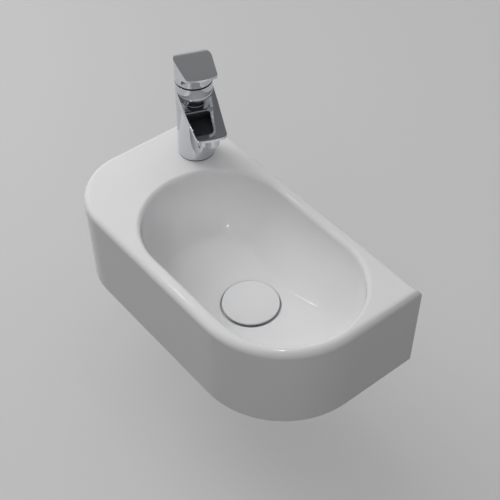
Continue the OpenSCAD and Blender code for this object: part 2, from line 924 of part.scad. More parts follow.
module cartridge_ports(low, length) {
    for (side = [-1, 1])
        translate([2, side * inlet_apart, low])
            cylinder(r = way_r, h = length, $fn = small_fn);
    translate([outlet_out, 0, low])
        cylinder(r = way_r, h = length, $fn = small_fn);
}

module cartridge_seal() {
    color("dimgray")
        at_tap()
            difference() {
                translate([0, 0, chamber_low])
                    cylinder(r = cart_r - 1, h = cart_seal_t, $fn = big_fn);
                cartridge_ports(chamber_low - over, cart_seal_t + 2 * over);
            }
}

module cartridge_fixed_disc() {
    color("lightgray")
        at_tap()
            difference() {
                translate([0, 0, disc_low])
                    cylinder(r = can_r - disc_gap, h = disc_t, $fn = big_fn);
                cartridge_ports(disc_low - over, disc_t + 2 * over);
            }
}

module cartridge_moving_disc() {
    low = disc_low + disc_t + disc_gap;
    color("lightgray")
        at_tap()
            difference() {
                translate([0, 0, low])
                    cylinder(r = can_r - 1, h = disc_t, $fn = big_fn);
                translate([0, 0, low - over])
                    cylinder(r = way_r + 2, h = disc_t / 2 + over, $fn = small_fn);
            }
}

module cartridge_rotor() {
    color("whitesmoke")
        at_tap()
            difference() {
                union() {
                    translate([0, 0, rotor_low])
                        cylinder(r = can_r - 0.5, h = rotor_base_t, $fn = big_fn);
                    translate([0, 0, rotor_low])
                        cylinder(r = rotor_r, h = neck_top + 0.5 - rotor_low, $fn = big_fn);
                }
                translate([-stem_w / 2 - 2, -stem_w / 2 - seat, stem_low - stem_sweep])
                    cube([stem_w + 6, stem_w + 2 * seat, tap_h]);
                translate([0, 0, pivot_z])
                    rotate([90, 0, 0])
                        cylinder(r = stem_pin_r + pin_press, h = 2 * rotor_r + 2 * over, center = true, $fn = small_fn);
            }
}

module cartridge_pin() {
    color("silver")
        at_tap()
            translate([0, 0, pivot_z])
                rotate([90, 0, 0])
                    cylinder(r = stem_pin_r, h = 2 * rotor_r - 3, center = true, $fn = small_fn);
}

module cartridge_ring_nut() {
    color("gold")
        at_tap()
            difference() {
                ring(ring_nut_r, neck_r + seat, ring_nut_low, ring_nut_low + ring_nut_h, big_fn);
                for (turn = [0, 90])
                    rotate([0, 0, turn])
                        translate([-cart_r, -1.5, ring_nut_low + ring_nut_h - 2])
                            cube([2 * cart_r, 3, 2 + over]);
            }
}

// Dome round the lever's pivot, open for the stem
module cartridge_cover() {
    low = ring_nut_low + ring_nut_h;
    color("silver")
        at_tap()
            rotate_extrude($fn = big_fn)
                intersection() {
                    translate([0, pivot_z])
                        difference() {
                            circle(r = cover_r, $fn = 2 * big_fn);
                            circle(r = cover_r - cover_t, $fn = 2 * big_fn);
                        }
                    translate([cover_hole_r, low])
                        square([cover_r, cover_r]);
                }
}

module cartridge_stem() {
    color("silver")
        at_tap()
            difference() {
                translate([-stem_w / 2, -stem_w / 2, stem_low])
                    cube([stem_w, stem_w, stem_top - stem_low]);
                translate([0, 0, pivot_z])
                    rotate([90, 0, 0])
                        cylinder(r = stem_pin_r + cart_clear, h = stem_w + 2 * over, center = true, $fn = small_fn);
            }
}

// Plan of the lever: round over the body, with straight sides to the front edge
module lever_plan() {
    bow = 2.5;
    corner = 4;
    front = lever_reach - bow;
    circle(r = tap_r, $fn = big_fn);
    polygon([
        [-7, tap_r - 1.2], [front - corner, lever_front_w], [front, lever_front_w - corner],
        [lever_reach, 0], [front, corner - lever_front_w], [front - corner, -lever_front_w], [-7, 1.2 - tap_r]
    ]);
    for (side = [-1, 1])
        translate([front - corner, side * (lever_front_w - corner)])
            circle(r = corner, $fn = small_fn);
}

// Side view of the lever's plate and its rounded back
module lever_side() {
    back = -tap_r;
    arc_z = lever_top - lever_back_r;
    polygon([
        [back, arc_z - 2], [back, arc_z], [back + lever_back_r, lever_top], [lever_reach, lever_top],
        [lever_reach, lever_top - lever_edge_t], [tap_r + 4, lever_top - 9], [tap_r - 4, arc_z - 2]
    ]);
    translate([back + lever_back_r, arc_z])
        circle(r = lever_back_r, $fn = big_fn);
}

module lever() {
    low = tap_h + lever_gap;
    bevel = lever_lift + 2;
    color("silver")
        at_tap()
            difference() {
                union() {
                    intersection() {
                        translate([0, 0, low])
                            linear_extrude(lever_top - low)
                                lever_plan();
                        from_side(2 * tap_r + over)
                            lever_side();
                    }
                    translate([0, 0, low])
                        cylinder(r = tap_r, h = lever_top - lever_back_r - low, $fn = big_fn);
                }
                from_side(2 * tap_r + 2 * over)
                    polygon([
                        [0, low], [-tap_r - over, low + (tap_r + over) * tan(bevel)], [-tap_r - over, low - over],
                        [0, low - over]
                    ]);
                translate([0, 0, pivot_z])
                    sphere(r = hollow_r, $fn = big_fn);
                translate([-stem_w / 2 - seat, -stem_w / 2 - seat, pivot_z])
                    cube([stem_w + 2 * seat, stem_w + 2 * seat, stem_top + seat - pivot_z]);
                translate([0, 0, screw_z])
                    rotate([0, -90, 0]) {
                        cylinder(r = set_screw_r + seat, h = tap_r + over, $fn = small_fn);
                        translate([0, 0, tap_r - plug_sink])
                            cylinder(r = plug_r + seat, h = plug_sink + over, $fn = small_fn);
                    }
            }
}

module at_set_screw() {
    at_tap()
        translate([0, 0, screw_z])
            rotate([0, -90, 0])
                children();
}

module lever_set_screw() {
    color("gray")
        at_set_screw()
            translate([0, 0, stem_w / 2])
                difference() {
                    cylinder(r = set_screw_r, h = set_screw_l, $fn = small_fn);
                    translate([0, 0, set_screw_l - set_screw_r])
                        cylinder(d = set_screw_r, h = set_screw_r + over, $fn = 6);
                }
}

module lever_plug() {
    color("silver")
        at_set_screw()
            translate([0, 0, tap_r - plug_sink])
                cylinder(r = plug_r, h = plug_t, $fn = small_fn);
}

basin();
waste_flange();
waste_flange_washer();
waste_cone_washer();
waste_back_nut();
waste_click_barrel();
waste_cap();
waste_cap_carrier();
waste_cap_seal();
waste_click_pin();
tap_body();
tap_gasket();
tap_stud();
tap_shoe_rubber();
tap_shoe_steel();
tap_stud_nut();
aerator_ring();
aerator_insert();
aerator_washer();
cartridge_housing();
cartridge_seal();
cartridge_fixed_disc();
cartridge_ring_nut();
cartridge_cover();
cartridge_rotor();
cartridge_moving_disc();
cartridge_pin();
cartridge_stem();
lever();
lever_set_screw();
lever_plug();
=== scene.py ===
"""Cloakroom basin with a single-lever tap and a push-to-open waste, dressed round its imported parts.

Sizes written with MM are in millimetres. The tap's pieces are made about its own axis, with the spout
along +X and the deck at height zero, and are then turned and set on the basin's deck.
"""

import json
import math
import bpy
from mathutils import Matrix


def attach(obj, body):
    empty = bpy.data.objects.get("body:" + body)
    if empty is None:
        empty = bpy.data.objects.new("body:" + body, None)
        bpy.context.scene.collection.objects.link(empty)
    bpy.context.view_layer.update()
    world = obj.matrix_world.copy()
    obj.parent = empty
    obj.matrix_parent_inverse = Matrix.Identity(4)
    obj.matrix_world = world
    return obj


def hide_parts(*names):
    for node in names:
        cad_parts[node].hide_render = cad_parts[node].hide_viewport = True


bl_info = {
    "name": "Cloakroom Basin",
    "version": (1, 0, 0),
    "blender": (4, 5, 0),
    "location": "3D View > Sidebar > Basin",
    "description": "Makes the visible pieces of a wall-hung cloakroom basin, its tap and its waste",
    "category": "Object",
}

import bpy
from mathutils import Matrix, Vector

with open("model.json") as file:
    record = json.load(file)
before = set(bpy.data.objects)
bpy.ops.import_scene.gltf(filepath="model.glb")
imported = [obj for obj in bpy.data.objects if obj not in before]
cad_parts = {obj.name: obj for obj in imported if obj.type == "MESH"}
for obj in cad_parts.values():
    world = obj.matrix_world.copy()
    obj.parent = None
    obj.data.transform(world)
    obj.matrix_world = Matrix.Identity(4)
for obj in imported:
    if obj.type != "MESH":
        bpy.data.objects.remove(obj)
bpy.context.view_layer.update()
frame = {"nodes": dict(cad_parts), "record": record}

MM = 0.001
ROOT = "basin_and_tap"

# Basin: height of the rim, middle of the bowl, place of the tap, and half the distance between the fixing holes
RIM_Z = 55.0
BOWL_X, BOWL_Y = 35.5, -107.3
TAP_X, TAP_Y = -142.5, -48.5
FIXING_X = 140

# Waste, with heights below the rim
WELL_R = 35.8
FLANGE_TOP, FLANGE_LOW = -90.5, -92.5
CAP_R, CAP_LOW, CAP_EDGE, CAP_RISE = 34.2, -88.5, 2.5, 4.0
NUT_LOW, NUT_WIDE, NUT_THICK = -129.0, 60, 7
TAIL_END, THREAD_PITCH = -166.0, 2.309

# Tap, with heights above the deck
PIVOT_Z = 104.0
LEVER_LOW, LEVER_LEDGE = 109.6, 119.5
SCREW_Z = 128
AERATOR_OUT = 69
# Half width of the spout's root, its reach, and the height of its underside at the root
SPOUT_HALF, SPOUT_REACH, SPOUT_UNDER = 22.44, 81.0, 82.0
# Round that the spout's upper face is part of, seen from the side
SPOUT_CURVE_A, SPOUT_CURVE_Z, SPOUT_CURVE_R = 147.8, 554.8, 479.0

FLOOR_Z, FLOOR_SIZE = -0.25, 14


def linear(code):
    """Turns an sRGB hex code into the linear colour that a shader takes."""
    parts = [int(code[i:i + 2], 16) / 255 for i in (1, 3, 5)]
    return [c / 12.92 if c <= 0.04045 else ((c + 0.055) / 1.055) ** 2.4 for c in parts]


# ---------------------------------------------------------------- settings


class BasinSizes(bpy.types.PropertyGroup):
    """Sizes of the ceramic body"""

    width: bpy.props.FloatProperty(name="Width", description="Width along the wall", default=0.4, unit="LENGTH")
    depth: bpy.props.FloatProperty(name="Depth", description="From the wall to the front", default=0.215, unit="LENGTH")
    height: bpy.props.FloatProperty(name="Height", description="Height of the ceramic", default=0.12, unit="LENGTH")
    left_corner: bpy.props.FloatProperty(
        name="Left corner", description="Radius of the front left corner", default=0.081, unit="LENGTH")
    right_corner: bpy.props.FloatProperty(
        name="Right corner", description="Radius of the front right corner", default=0.111, unit="LENGTH")
    rim: bpy.props.FloatProperty(name="Rim", description="Radius of the outer rim", default=0.009, unit="LENGTH")
    draft: bpy.props.FloatProperty(name="Draft", description="Lean of the walls", default=0.0024, unit="LENGTH")
    wall: bpy.props.FloatProperty(name="Wall", description="Thickness of the wall", default=0.01, unit="LENGTH")
    deck: bpy.props.FloatProperty(name="Deck", description="Thickness of the deck", default=0.012, unit="LENGTH")


class BowlSizes(bpy.types.PropertyGroup):
    """Sizes of the bowl"""

    radius: bpy.props.FloatProperty(
        name="Radius", description="Radius of the round ends", default=0.0895, unit="LENGTH")
    half: bpy.props.FloatProperty(
        name="Half length", description="Half of the straight run", default=0.06, unit="LENGTH")
    edge: bpy.props.FloatProperty(name="Edge", description="Radius of the soft edge", default=0.006, unit="LENGTH")
    depth: bpy.props.FloatProperty(name="Depth", description="Depth at the waste", default=0.092, unit="LENGTH")
    shell: bpy.props.FloatProperty(name="Shell", description="Thickness of the bowl", default=0.009, unit="LENGTH")


class TapSizes(bpy.types.PropertyGroup):
    """Sizes of the tap"""

    radius: bpy.props.FloatProperty(name="Radius", description="Radius of the body", default=0.0225, unit="LENGTH")
    height: bpy.props.FloatProperty(name="Height", description="Height of the body", default=0.108, unit="LENGTH")
    turn: bpy.props.FloatProperty(
        name="Turn", description="Turn of the spout from the wall", default=math.radians(22), subtype="ANGLE")
    top: bpy.props.FloatProperty(name="Top", description="Height of the lever's top", default=0.138, unit="LENGTH")
    lever: bpy.props.FloatProperty(name="Lever", description="Reach of the lever", default=0.0445, unit="LENGTH")


class Finishes(bpy.types.PropertyGroup):
    """Colours of the finishes"""

    glaze: bpy.props.FloatVectorProperty(
        name="Glaze", description="White glaze", subtype="COLOR", default=linear("#EBEBEC"))
    chrome: bpy.props.FloatVectorProperty(
        name="Chrome", description="Chrome plate", subtype="COLOR", default=linear("#D6D8DC"))
    brass: bpy.props.FloatVectorProperty(
        name="Brass", description="Bare brass", subtype="COLOR", default=linear("#C9A95C"))
    steel: bpy.props.FloatVectorProperty(
        name="Steel", description="Zinc-plated steel", subtype="COLOR", default=linear("#B4B6B8"))
    zinc: bpy.props.FloatVectorProperty(
        name="Zinc", description="Unpolished cast zinc", subtype="COLOR", default=linear("#5C5D60"))
    rubber: bpy.props.FloatVectorProperty(
        name="Rubber", description="Black rubber", subtype="COLOR", default=linear("#1E1E1F"))
    acetal: bpy.props.FloatVectorProperty(
        name="Acetal", description="White moulded plastic", subtype="COLOR", default=linear("#D9D8D2"))
    floor: bpy.props.FloatVectorProperty(
        name="Floor", description="Studio floor", subtype="COLOR", default=linear("#CDCDCE"))


def sizes(name):
    """A group of settings of the scene."""
    return getattr(bpy.context.scene, name)


# ---------------------------------------------------------------- modelling helpers


def clear():
    """Leaves edit mode and deselects everything."""
    if bpy.context.object and bpy.context.object.mode != "OBJECT":
        bpy.ops.object.mode_set(mode="OBJECT")
    bpy.ops.object.select_all(action="DESELECT")


def pick(obj):
    """Makes an object the only one selected, and the active one."""
    clear()
    obj.select_set(True)
    bpy.context.view_layer.objects.active = obj
    return obj


def fresh(name):
    """Names the object that a primitive has just made."""
    obj = bpy.context.object
    obj.name = obj.data.name = name.lower().replace(" ", "_")
    return obj


def block(name, low, high):
    """A block between two corners, in millimetres."""
    clear()
    middle = [(a + b) / 2 * MM for a, b in zip(low, high)]
    bpy.ops.mesh.primitive_cube_add(size=1, location=middle)
    obj = fresh(name)
    obj.scale = [(b - a) * MM for a, b in zip(low, high)]
    bpy.ops.object.transform_apply(location=True, rotation=True, scale=True)
    return obj


def rod(name, radius, low, high, x=0.0, y=0.0, sides=64):
    """An upright round bar, in millimetres."""
    clear()
    bpy.ops.mesh.primitive_cylinder_add(
        vertices=sides, radius=radius * MM, depth=(high - low) * MM, location=(x * MM, y * MM, (low + high) / 2 * MM))
    obj = fresh(name)
    bpy.ops.object.transform_apply(location=True, rotation=True, scale=True)
    return obj


def lying_rod(name, radius, length, middle, axis, sides):
    """A level round bar along X or Y, in millimetres."""
    clear()
    turn = (0, math.pi / 2, 0) if axis == "X" else (math.pi / 2, 0, 0)
    bpy.ops.mesh.primitive_cylinder_add(
        vertices=sides, radius=radius * MM, depth=length * MM, location=[c * MM for c in middle], rotation=turn)
    obj = fresh(name)
    bpy.ops.object.transform_apply(location=True, rotation=True, scale=True)
    return obj


def ball(name, radius, at):
    """A ball, in millimetres."""
    clear()
    bpy.ops.mesh.primitive_uv_sphere_add(segments=64, ring_count=32, radius=radius * MM, location=[c * MM for c in at])
    obj = fresh(name)
    bpy.ops.object.transform_apply(location=True, rotation=True, scale=True)
    return obj


def select_where(obj, kind, test):
    """Selects the points that pass the test, or the edges between two such points, and enters edit mode."""
    pick(obj)
    bpy.context.tool_settings.mesh_select_mode = (kind == "VERT", kind == "EDGE", False)
    mesh = obj.data
    good = [test(v.co / MM) for v in mesh.vertices]
    for group in (mesh.vertices, mesh.edges, mesh.polygons):
        group.foreach_set("select", [False] * len(group))
    if kind == "VERT":
        mesh.vertices.foreach_set("select", good)
    else:
        for edge in mesh.edges:
            edge.select = all(good[i] for i in edge.vertices)
    bpy.ops.object.mode_set(mode="EDIT")


def leave():
    """Leaves edit mode."""
    bpy.ops.object.mode_set(mode="OBJECT")


def round_edges(obj, test, radius, steps):
    """Rounds the edges of which both ends pass the test."""
    select_where(obj, "EDGE", test)
    bpy.ops.mesh.bevel(offset=radius * MM, offset_type="OFFSET", segments=steps, profile=0.5, clamp_overlap=False)
    leave()


def turned(name, profile, sides=96, closed=False):
    """A round piece made as on a lathe, from (radius, height) pairs in millimetres."""
    clear()
    radius, height = profile[0]
    bpy.ops.mesh.primitive_circle_add(vertices=sides, radius=max(radius, 0.01) * MM, location=(0, 0, height * MM))
    obj = fresh(name)
    bpy.ops.object.transform_apply(location=True, rotation=True, scale=True)
    bpy.ops.object.mode_set(mode="EDIT")
    bpy.ops.mesh.select_mode(type="EDGE")
    bpy.ops.mesh.select_all(action="SELECT")
    for wide, tall in profile[1:] + ([profile[0]] if closed else []):
        bpy.ops.mesh.extrude_edges_move(TRANSFORM_OT_translate={"value": (0, 0, (tall - height) * MM)})
        ratio = max(wide, 0.01) / max(radius, 0.01)
        bpy.ops.transform.resize(value=(ratio, ratio, 1), center_override=(0, 0, tall * MM))
        radius, height = wide, tall
    bpy.ops.mesh.select_all(action="SELECT")
    bpy.ops.mesh.remove_doubles(threshold=0.02 * MM)
    bpy.ops.mesh.normals_make_consistent(inside=False)
    leave()
    return obj


def outline(name, points):
    """A flat face with the given outline, in millimetres, as (x, y, z) points."""
    clear()
    bpy.ops.mesh.primitive_circle_add(vertices=len(points), radius=1, fill_type="NGON")
    obj = fresh(name)
    for vertex, point in zip(obj.data.vertices, points):
        vertex.co = Vector(point) * MM
    return obj


def thicken(obj, way):
    """Draws a flat outline out along a direction, in millimetres."""
    pick(obj)
    bpy.ops.object.mode_set(mode="EDIT")
    bpy.ops.mesh.select_mode(type="FACE")
    bpy.ops.mesh.select_all(action="SELECT")
    bpy.ops.mesh.extrude_region_move(TRANSFORM_OT_translate={"value": [c * MM for c in way]})
    bpy.ops.mesh.select_all(action="SELECT")
    bpy.ops.mesh.normals_make_consistent(inside=False)
    leave()
    return obj


def side_block(name, points, half):
    """A solid from a side view of (x, z) points, with a half width."""
    return thicken(outline(name, [(x, -half, z) for x, z in points]), (0, 2 * half, 0))


def plan_block(name, points, low, high):
    """A solid from a plan of (x, y) points, between two heights."""
    return thicken(outline(name, [(x, y, low) for x, y in points]), (0, 0, high - low))


def arc(cx, cy, radius, start, end, steps):
    """Points on an arc, with its angles in degrees."""
    return [
        (cx + radius * math.cos(math.radians(start + (end - start) * i / steps)),
         cy + radius * math.sin(math.radians(start + (end - start) * i / steps)))
        for i in range(steps + 1)
    ]


def combine(obj, other, operation="UNION"):
    """Joins, cuts or intersects one solid with another, which is used up."""
    pick(obj)
    boolean = obj.modifiers.new(operation.title(), "BOOLEAN")
    boolean.operation = operation
    boolean.solver = "EXACT"
    boolean.material_mode = "TRANSFER"
    boolean.object = other
    bpy.ops.object.modifier_apply(modifier=boolean.name)
    bpy.data.objects.remove(other)
    return obj


def cut(obj, *tools):
    """Cuts solids away from another, one after the other."""
    for tool in tools:
        combine(obj, tool, "DIFFERENCE")
    return obj


def tidy(obj):
    """Merges doubled points and drops needless ones."""
    close = 0.004 * MM
    pick(obj)
    bpy.ops.object.mode_set(mode="EDIT")
    bpy.ops.mesh.select_all(action="SELECT")
    bpy.ops.mesh.remove_doubles(threshold=close)
    bpy.ops.mesh.dissolve_degenerate(threshold=close)
    leave()
    return obj


def soften(obj, width, steps, angle):
    """Rounds every edge sharper than an angle, in degrees."""
    pick(obj)
    bevel = obj.modifiers.new("Soft edges", "BEVEL")
    bevel.width = width * MM
    bevel.segments = steps
    bevel.limit_method = "ANGLE"
    bevel.angle_limit = math.radians(angle)
    bevel.use_clamp_overlap = True
    bpy.ops.object.modifier_apply(modifier=bevel.name)
    return obj


def polish(obj, angle):
    """Smooth shading up to an angle, in degrees, that keeps flat faces flat."""
    pick(obj)
    bpy.ops.object.shade_smooth_by_angle(angle=math.radians(angle))
    normal = obj.modifiers.new("Flat faces", "WEIGHTED_NORMAL")
    normal.keep_sharp = True
    bpy.ops.object.modifier_apply(modifier=normal.name)
    return obj


def settle(obj, matrix):
    """Moves a finished piece to its place and leaves its object at the origin."""
    pick(obj)
    obj.matrix_world = matrix
    bpy.ops.object.transform_apply(location=True, rotation=True, scale=True)
    return obj


def on_deck():
    """Where the tap stands, turned from the wall."""
    turn = Matrix.Rotation(-sizes("basin_tap").turn, 4, "Z")
    return Matrix.Translation(Vector((TAP_X, TAP_Y, RIM_Z)) * MM) @ turn


def in_bowl():
    """The middle of the bowl, at the height of the rim."""
    return Matrix.Translation(Vector((BOWL_X, BOWL_Y, RIM_Z)) * MM)


def finish_piece(obj, finish, body, slot, *nodes):
    """Gives a piece its material, its body and the parts that it stands for."""
    slots = obj.data.materials
    if not slots:
        slots.append(None)
    for i, found in enumerate(slots[:]):
        slots[i] = found or bpy.data.materials[finish]
    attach(obj, body)
    if nodes:
        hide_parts(*nodes)
    return obj


# ---------------------------------------------------------------- materials


def node(tree, kind, links=None, **settings):
    """Adds a shader node, sets its properties and sockets, and links what feeds it."""
    made = tree.nodes.new(kind)
    for key, value in settings.items():
        if key in made.inputs:
            made.inputs[key].default_value = value
        else:
            setattr(made, key, value)
    for key, source in (links or {}).items():
        tree.links.new(source, made.inputs[key])
    return made


def start_material(name):
    """An empty material and its node tree."""
    material = bpy.data.materials.new(name)
    material.use_nodes = True
    material.node_tree.nodes.clear()
    return material, material.node_tree


def close_material(tree, shader):
    """Adds the material's output."""
    node(tree, "ShaderNodeOutputMaterial", {"Surface": shader.outputs[0]})


def colour(name):
    """A colour of the finishes, with its alpha."""
    return (*getattr(sizes("basin_finish"), name), 1)


def spread_out(tree, value, low, high, least, most):
    """Maps a value from one range to another."""
    mapped = node(tree, "ShaderNodeMapRange", {"Value": value})
    for socket, number in (("From Min", low), ("From Max", high), ("To Min", least), ("To Max", most)):
        mapped.inputs[socket].default_value = number
    return mapped


def two_tones(tree, pattern, base, dark, light):
    """Mixes a darker and a lighter tone of a colour by a pattern."""
    tint = node(tree, "ShaderNodeMix", {"Factor": pattern.outputs["Fac"]}, data_type="RGBA")
    for socket, tone in ((6, dark), (7, light)):
        tint.inputs[socket].default_value = [min(c * tone, 1) for c in base[:3]] + [1]
    return tint


def glazed_ceramic():
    """Vitreous china under a fired white glaze: glassy and clear, with a slow orange-peel swell."""
    material, tree = start_material("glazed_ceramic")
    place = node(tree, "ShaderNodeTexCoord").outputs["Object"]
    # The glaze pools a little: patches about 60 mm across, a shade lighter or darker
    patches = node(tree, "ShaderNodeTexNoise", {"Vector": place}, Scale=16.0, Detail=2.0)
    tint = two_tones(tree, patches, colour("glaze"), 0.985, 1.012)
    # Swell about 12 mm from crest to crest, a few microns deep
    swell = node(tree, "ShaderNodeTexNoise", {"Vector": place}, Scale=85.0, Detail=1.0)
    bump = node(tree, "ShaderNodeBump", {"Height": swell.outputs["Fac"]}, Strength=0.12, Distance=0.0004)
    # Fine wear changes the gloss by a few hundredths
    wear = node(tree, "ShaderNodeTexNoise", {"Vector": place}, Scale=400.0, Detail=3.0)
    rough = spread_out(tree, wear.outputs["Fac"], 0, 1, 0.03, 0.07)
    shader = node(tree, "ShaderNodeBsdfPrincipled", {
        "Base Color": tint.outputs[2], "Roughness": rough.outputs[0], "Normal": bump.outputs[0]}, IOR=1.5)
    close_material(tree, shader)


def chrome_plate():
    """Bright chrome on polished metal: a near mirror with a cool cast and faint polishing haze."""
    material, tree = start_material("chrome_plate")
    place = node(tree, "ShaderNodeTexCoord").outputs["Object"]
    # Water spots and polishing haze in patches of about 8 mm
    haze = node(tree, "ShaderNodeTexNoise", {"Vector": place}, Scale=130.0, Detail=4.0)
    rough = spread_out(tree, haze.outputs["Fac"], 0.35, 0.75, 0.03, 0.075)
    shader = node(tree, "ShaderNodeBsdfPrincipled", {"Roughness": rough.outputs[0]}, Metallic=1.0)
    shader.inputs["Base Color"].default_value = colour("chrome")
    close_material(tree, shader)


def plain_metal(name, tone, roughness, spread):
    """Bare brass, cast zinc or zinc-plated steel, dulled by handling."""
    material, tree = start_material(name)
    place = node(tree, "ShaderNodeTexCoord").outputs["Object"]
    stain = node(tree, "ShaderNodeTexNoise", {"Vector": place}, Scale=160.0, Detail=3.0)
    tint = two_tones(tree, stain, colour(tone), 0.8, 1)
    rough = spread_out(tree, stain.outputs["Fac"], 0, 1, roughness - spread, roughness + spread)
    # Turning marks about 1.2 mm apart, along the upright axis
    marks = node(tree, "ShaderNodeTexWave", {"Vector": place}, Scale=260.0, Distortion=1.0, bands_direction="Z")
    bump = node(tree, "ShaderNodeBump", {"Height": marks.outputs["Fac"]}, Strength=0.1, Distance=0.0001)
    shader = node(tree, "ShaderNodeBsdfPrincipled", {
        "Base Color": tint.outputs[2], "Roughness": rough.outputs[0], "Normal": bump.outputs[0]}, Metallic=1.0)
    close_material(tree, shader)


def moulded(name, tone, roughness, grain):
    """Moulded rubber or plastic with a fine even grain."""
    material, tree = start_material(name)
    place = node(tree, "ShaderNodeTexCoord").outputs["Object"]
    speck = node(tree, "ShaderNodeTexNoise", {"Vector": place}, Scale=900.0, Detail=2.0)
    tint = two_tones(tree, speck, colour(tone), 0.9, 1)
    bump = node(tree, "ShaderNodeBump", {"Height": speck.outputs["Fac"]}, Strength=grain, Distance=0.0001)
    shader = node(tree, "ShaderNodeBsdfPrincipled", {
        "Base Color": tint.outputs[2], "Normal": bump.outputs[0]}, Roughness=roughness)
    close_material(tree, shader)


class MakeFinishes(bpy.types.Operator):
    """Makes the materials"""

    bl_idname = "basin.make_finishes"
    bl_label = "Finishes"

    def execute(self, context):
        glazed_ceramic()
        chrome_plate()
        plain_metal("turned_brass", "brass", 0.32, 0.08)
        plain_metal("zinc_plated_steel", "steel", 0.36, 0.08)
        plain_metal("raw_zinc", "zinc", 0.55, 0.1)
        moulded("black_rubber", "rubber", 0.7, 0.3)
        moulded("white_acetal", "acetal", 0.45, 0.1)
        # A black plastic that stands as painted shade on the dome under the lever
        moulded("black_acetal", "rubber", 0.5, 0.1)
        return {"FINISHED"}


# ---------------------------------------------------------------- ceramic body


def bowl_rings(grow):
    """Rings of the bowl as (radius, half length, depth): the wall curves down and the straight run closes in."""
    s = sizes("basin_bowl")
    radius, depth = s.radius / MM + grow, s.depth / MM + grow
    half, edge = s.half / MM, s.edge / MM
    count, close_from, close_over = 40, 58, 15
    rings = []
    for i in range(count + 1):
        turn = math.radians(90 * i / count)
        wide = radius * math.cos(turn) ** (2 / 3)
        deep = edge + (depth - edge) * math.sin(turn)
        close = min(max((math.degrees(turn) - close_from) / close_over, 0), 1)
        rings.append((wide, half * (1 - close * close * (3 - 2 * close)), -deep))
    return rings


def loft(name, rings):
    """A closed surface through stadium-shaped rings, from the top one down, round the bowl's middle."""
    clear()
    around, along = 28, 12
    count = 2 * (around + along)
    bpy.ops.mesh.primitive_cylinder_add(vertices=count, radius=1, depth=1, end_fill_type="NGON")
    obj = fresh(name)
    bpy.ops.object.mode_set(mode="EDIT")
    bpy.ops.mesh.select_all(action="DESELECT")
    bpy.ops.mesh.select_mode(type="EDGE")
    leave()
    mesh = obj.data
    for edge in mesh.edges:
        a, b = (mesh.vertices[i].co.z for i in edge.vertices)
        edge.select = abs(a - b) > 0.5
    bpy.ops.object.mode_set(mode="EDIT")
    bpy.ops.mesh.subdivide(number_cuts=len(rings) - 2)
    leave()
    step = 1 / (len(rings) - 1)
    for vertex in mesh.vertices:
        k = round((0.5 - vertex.co.z) / step)
        angle = math.atan2(vertex.co.y, vertex.co.x) % (2 * math.pi)
        j = round(angle / (2 * math.pi) * count) % count
        radius, half, height = rings[k]
        vertex.co = Vector(stadium_point(j, around, along, radius, half) + (height,)) * MM
    return obj


def stadium_point(j, around, along, radius, half):
    """Point j of a ring: half a right end, the far side, the left end, the near side and the rest."""
    quarter = around / 2
    if j <= quarter:
        angle = math.pi / 2 * j / quarter
        return half + radius * math.cos(angle), radius * math.sin(angle)
    j -= quarter
    if j <= along:
        return half - 2 * half * j / along, radius
    j -= along
    if j <= around:
        angle = math.pi / 2 + math.pi * j / around
        return -half + radius * math.cos(angle), radius * math.sin(angle)
    j -= around
    if j <= along:
        return -half + 2 * half * j / along, -radius
    j -= along
    angle = -math.pi / 2 + math.pi / 2 * j / quarter
    return half + radius * math.cos(angle), radius * math.sin(angle)


def bowl_room():
    """The hollow of the bowl, down to the well of the waste and its hole."""
    rings = [(r, h, z) for r, h, z in bowl_rings(0) if r > 40.5]
    s = sizes("basin_bowl")
    radius, half, edge = s.radius / MM, s.half / MM, s.edge / MM
    # The soft edge is a quarter round that opens on to the rim
    lip = [(radius + edge - y, half, x - edge) for x, y in arc(0, 0, edge, 90, 0, 8)]
    rings = [(radius + edge, half, 3.0)] + lip[::-1] + rings[1:]
    rings += [
        (37.9, 0, -88.62), (36.9, 0, -88.9), (36.2, 0, -89.6), (WELL_R, 0, -90.6), (WELL_R, 0, -94.0),
        (24.0, 0, -94.0), (23.2, 0, -94.6), (23.0, 0, -95.4), (23.0, 0, -118.0)]
    return loft("Bowl room", rings)


def bowl_shell():
    """The outside of the bowl, seen from below."""
    s = sizes("basin_bowl")
    rings = [(r, h, z) for r, h, z in bowl_rings(s.shell / MM) if r > 42]
    first = rings[0]
    rings = [(first[0], first[1], -5.0)] + rings[1:]
    rings += [(40.0, 0, -99.0), (38.4, 0, -100.6), (38.0, 0, -103.0), (38.0, 0, -112.2), (37.2, 0, -113.0)]
    return loft("Bowl shell", rings)


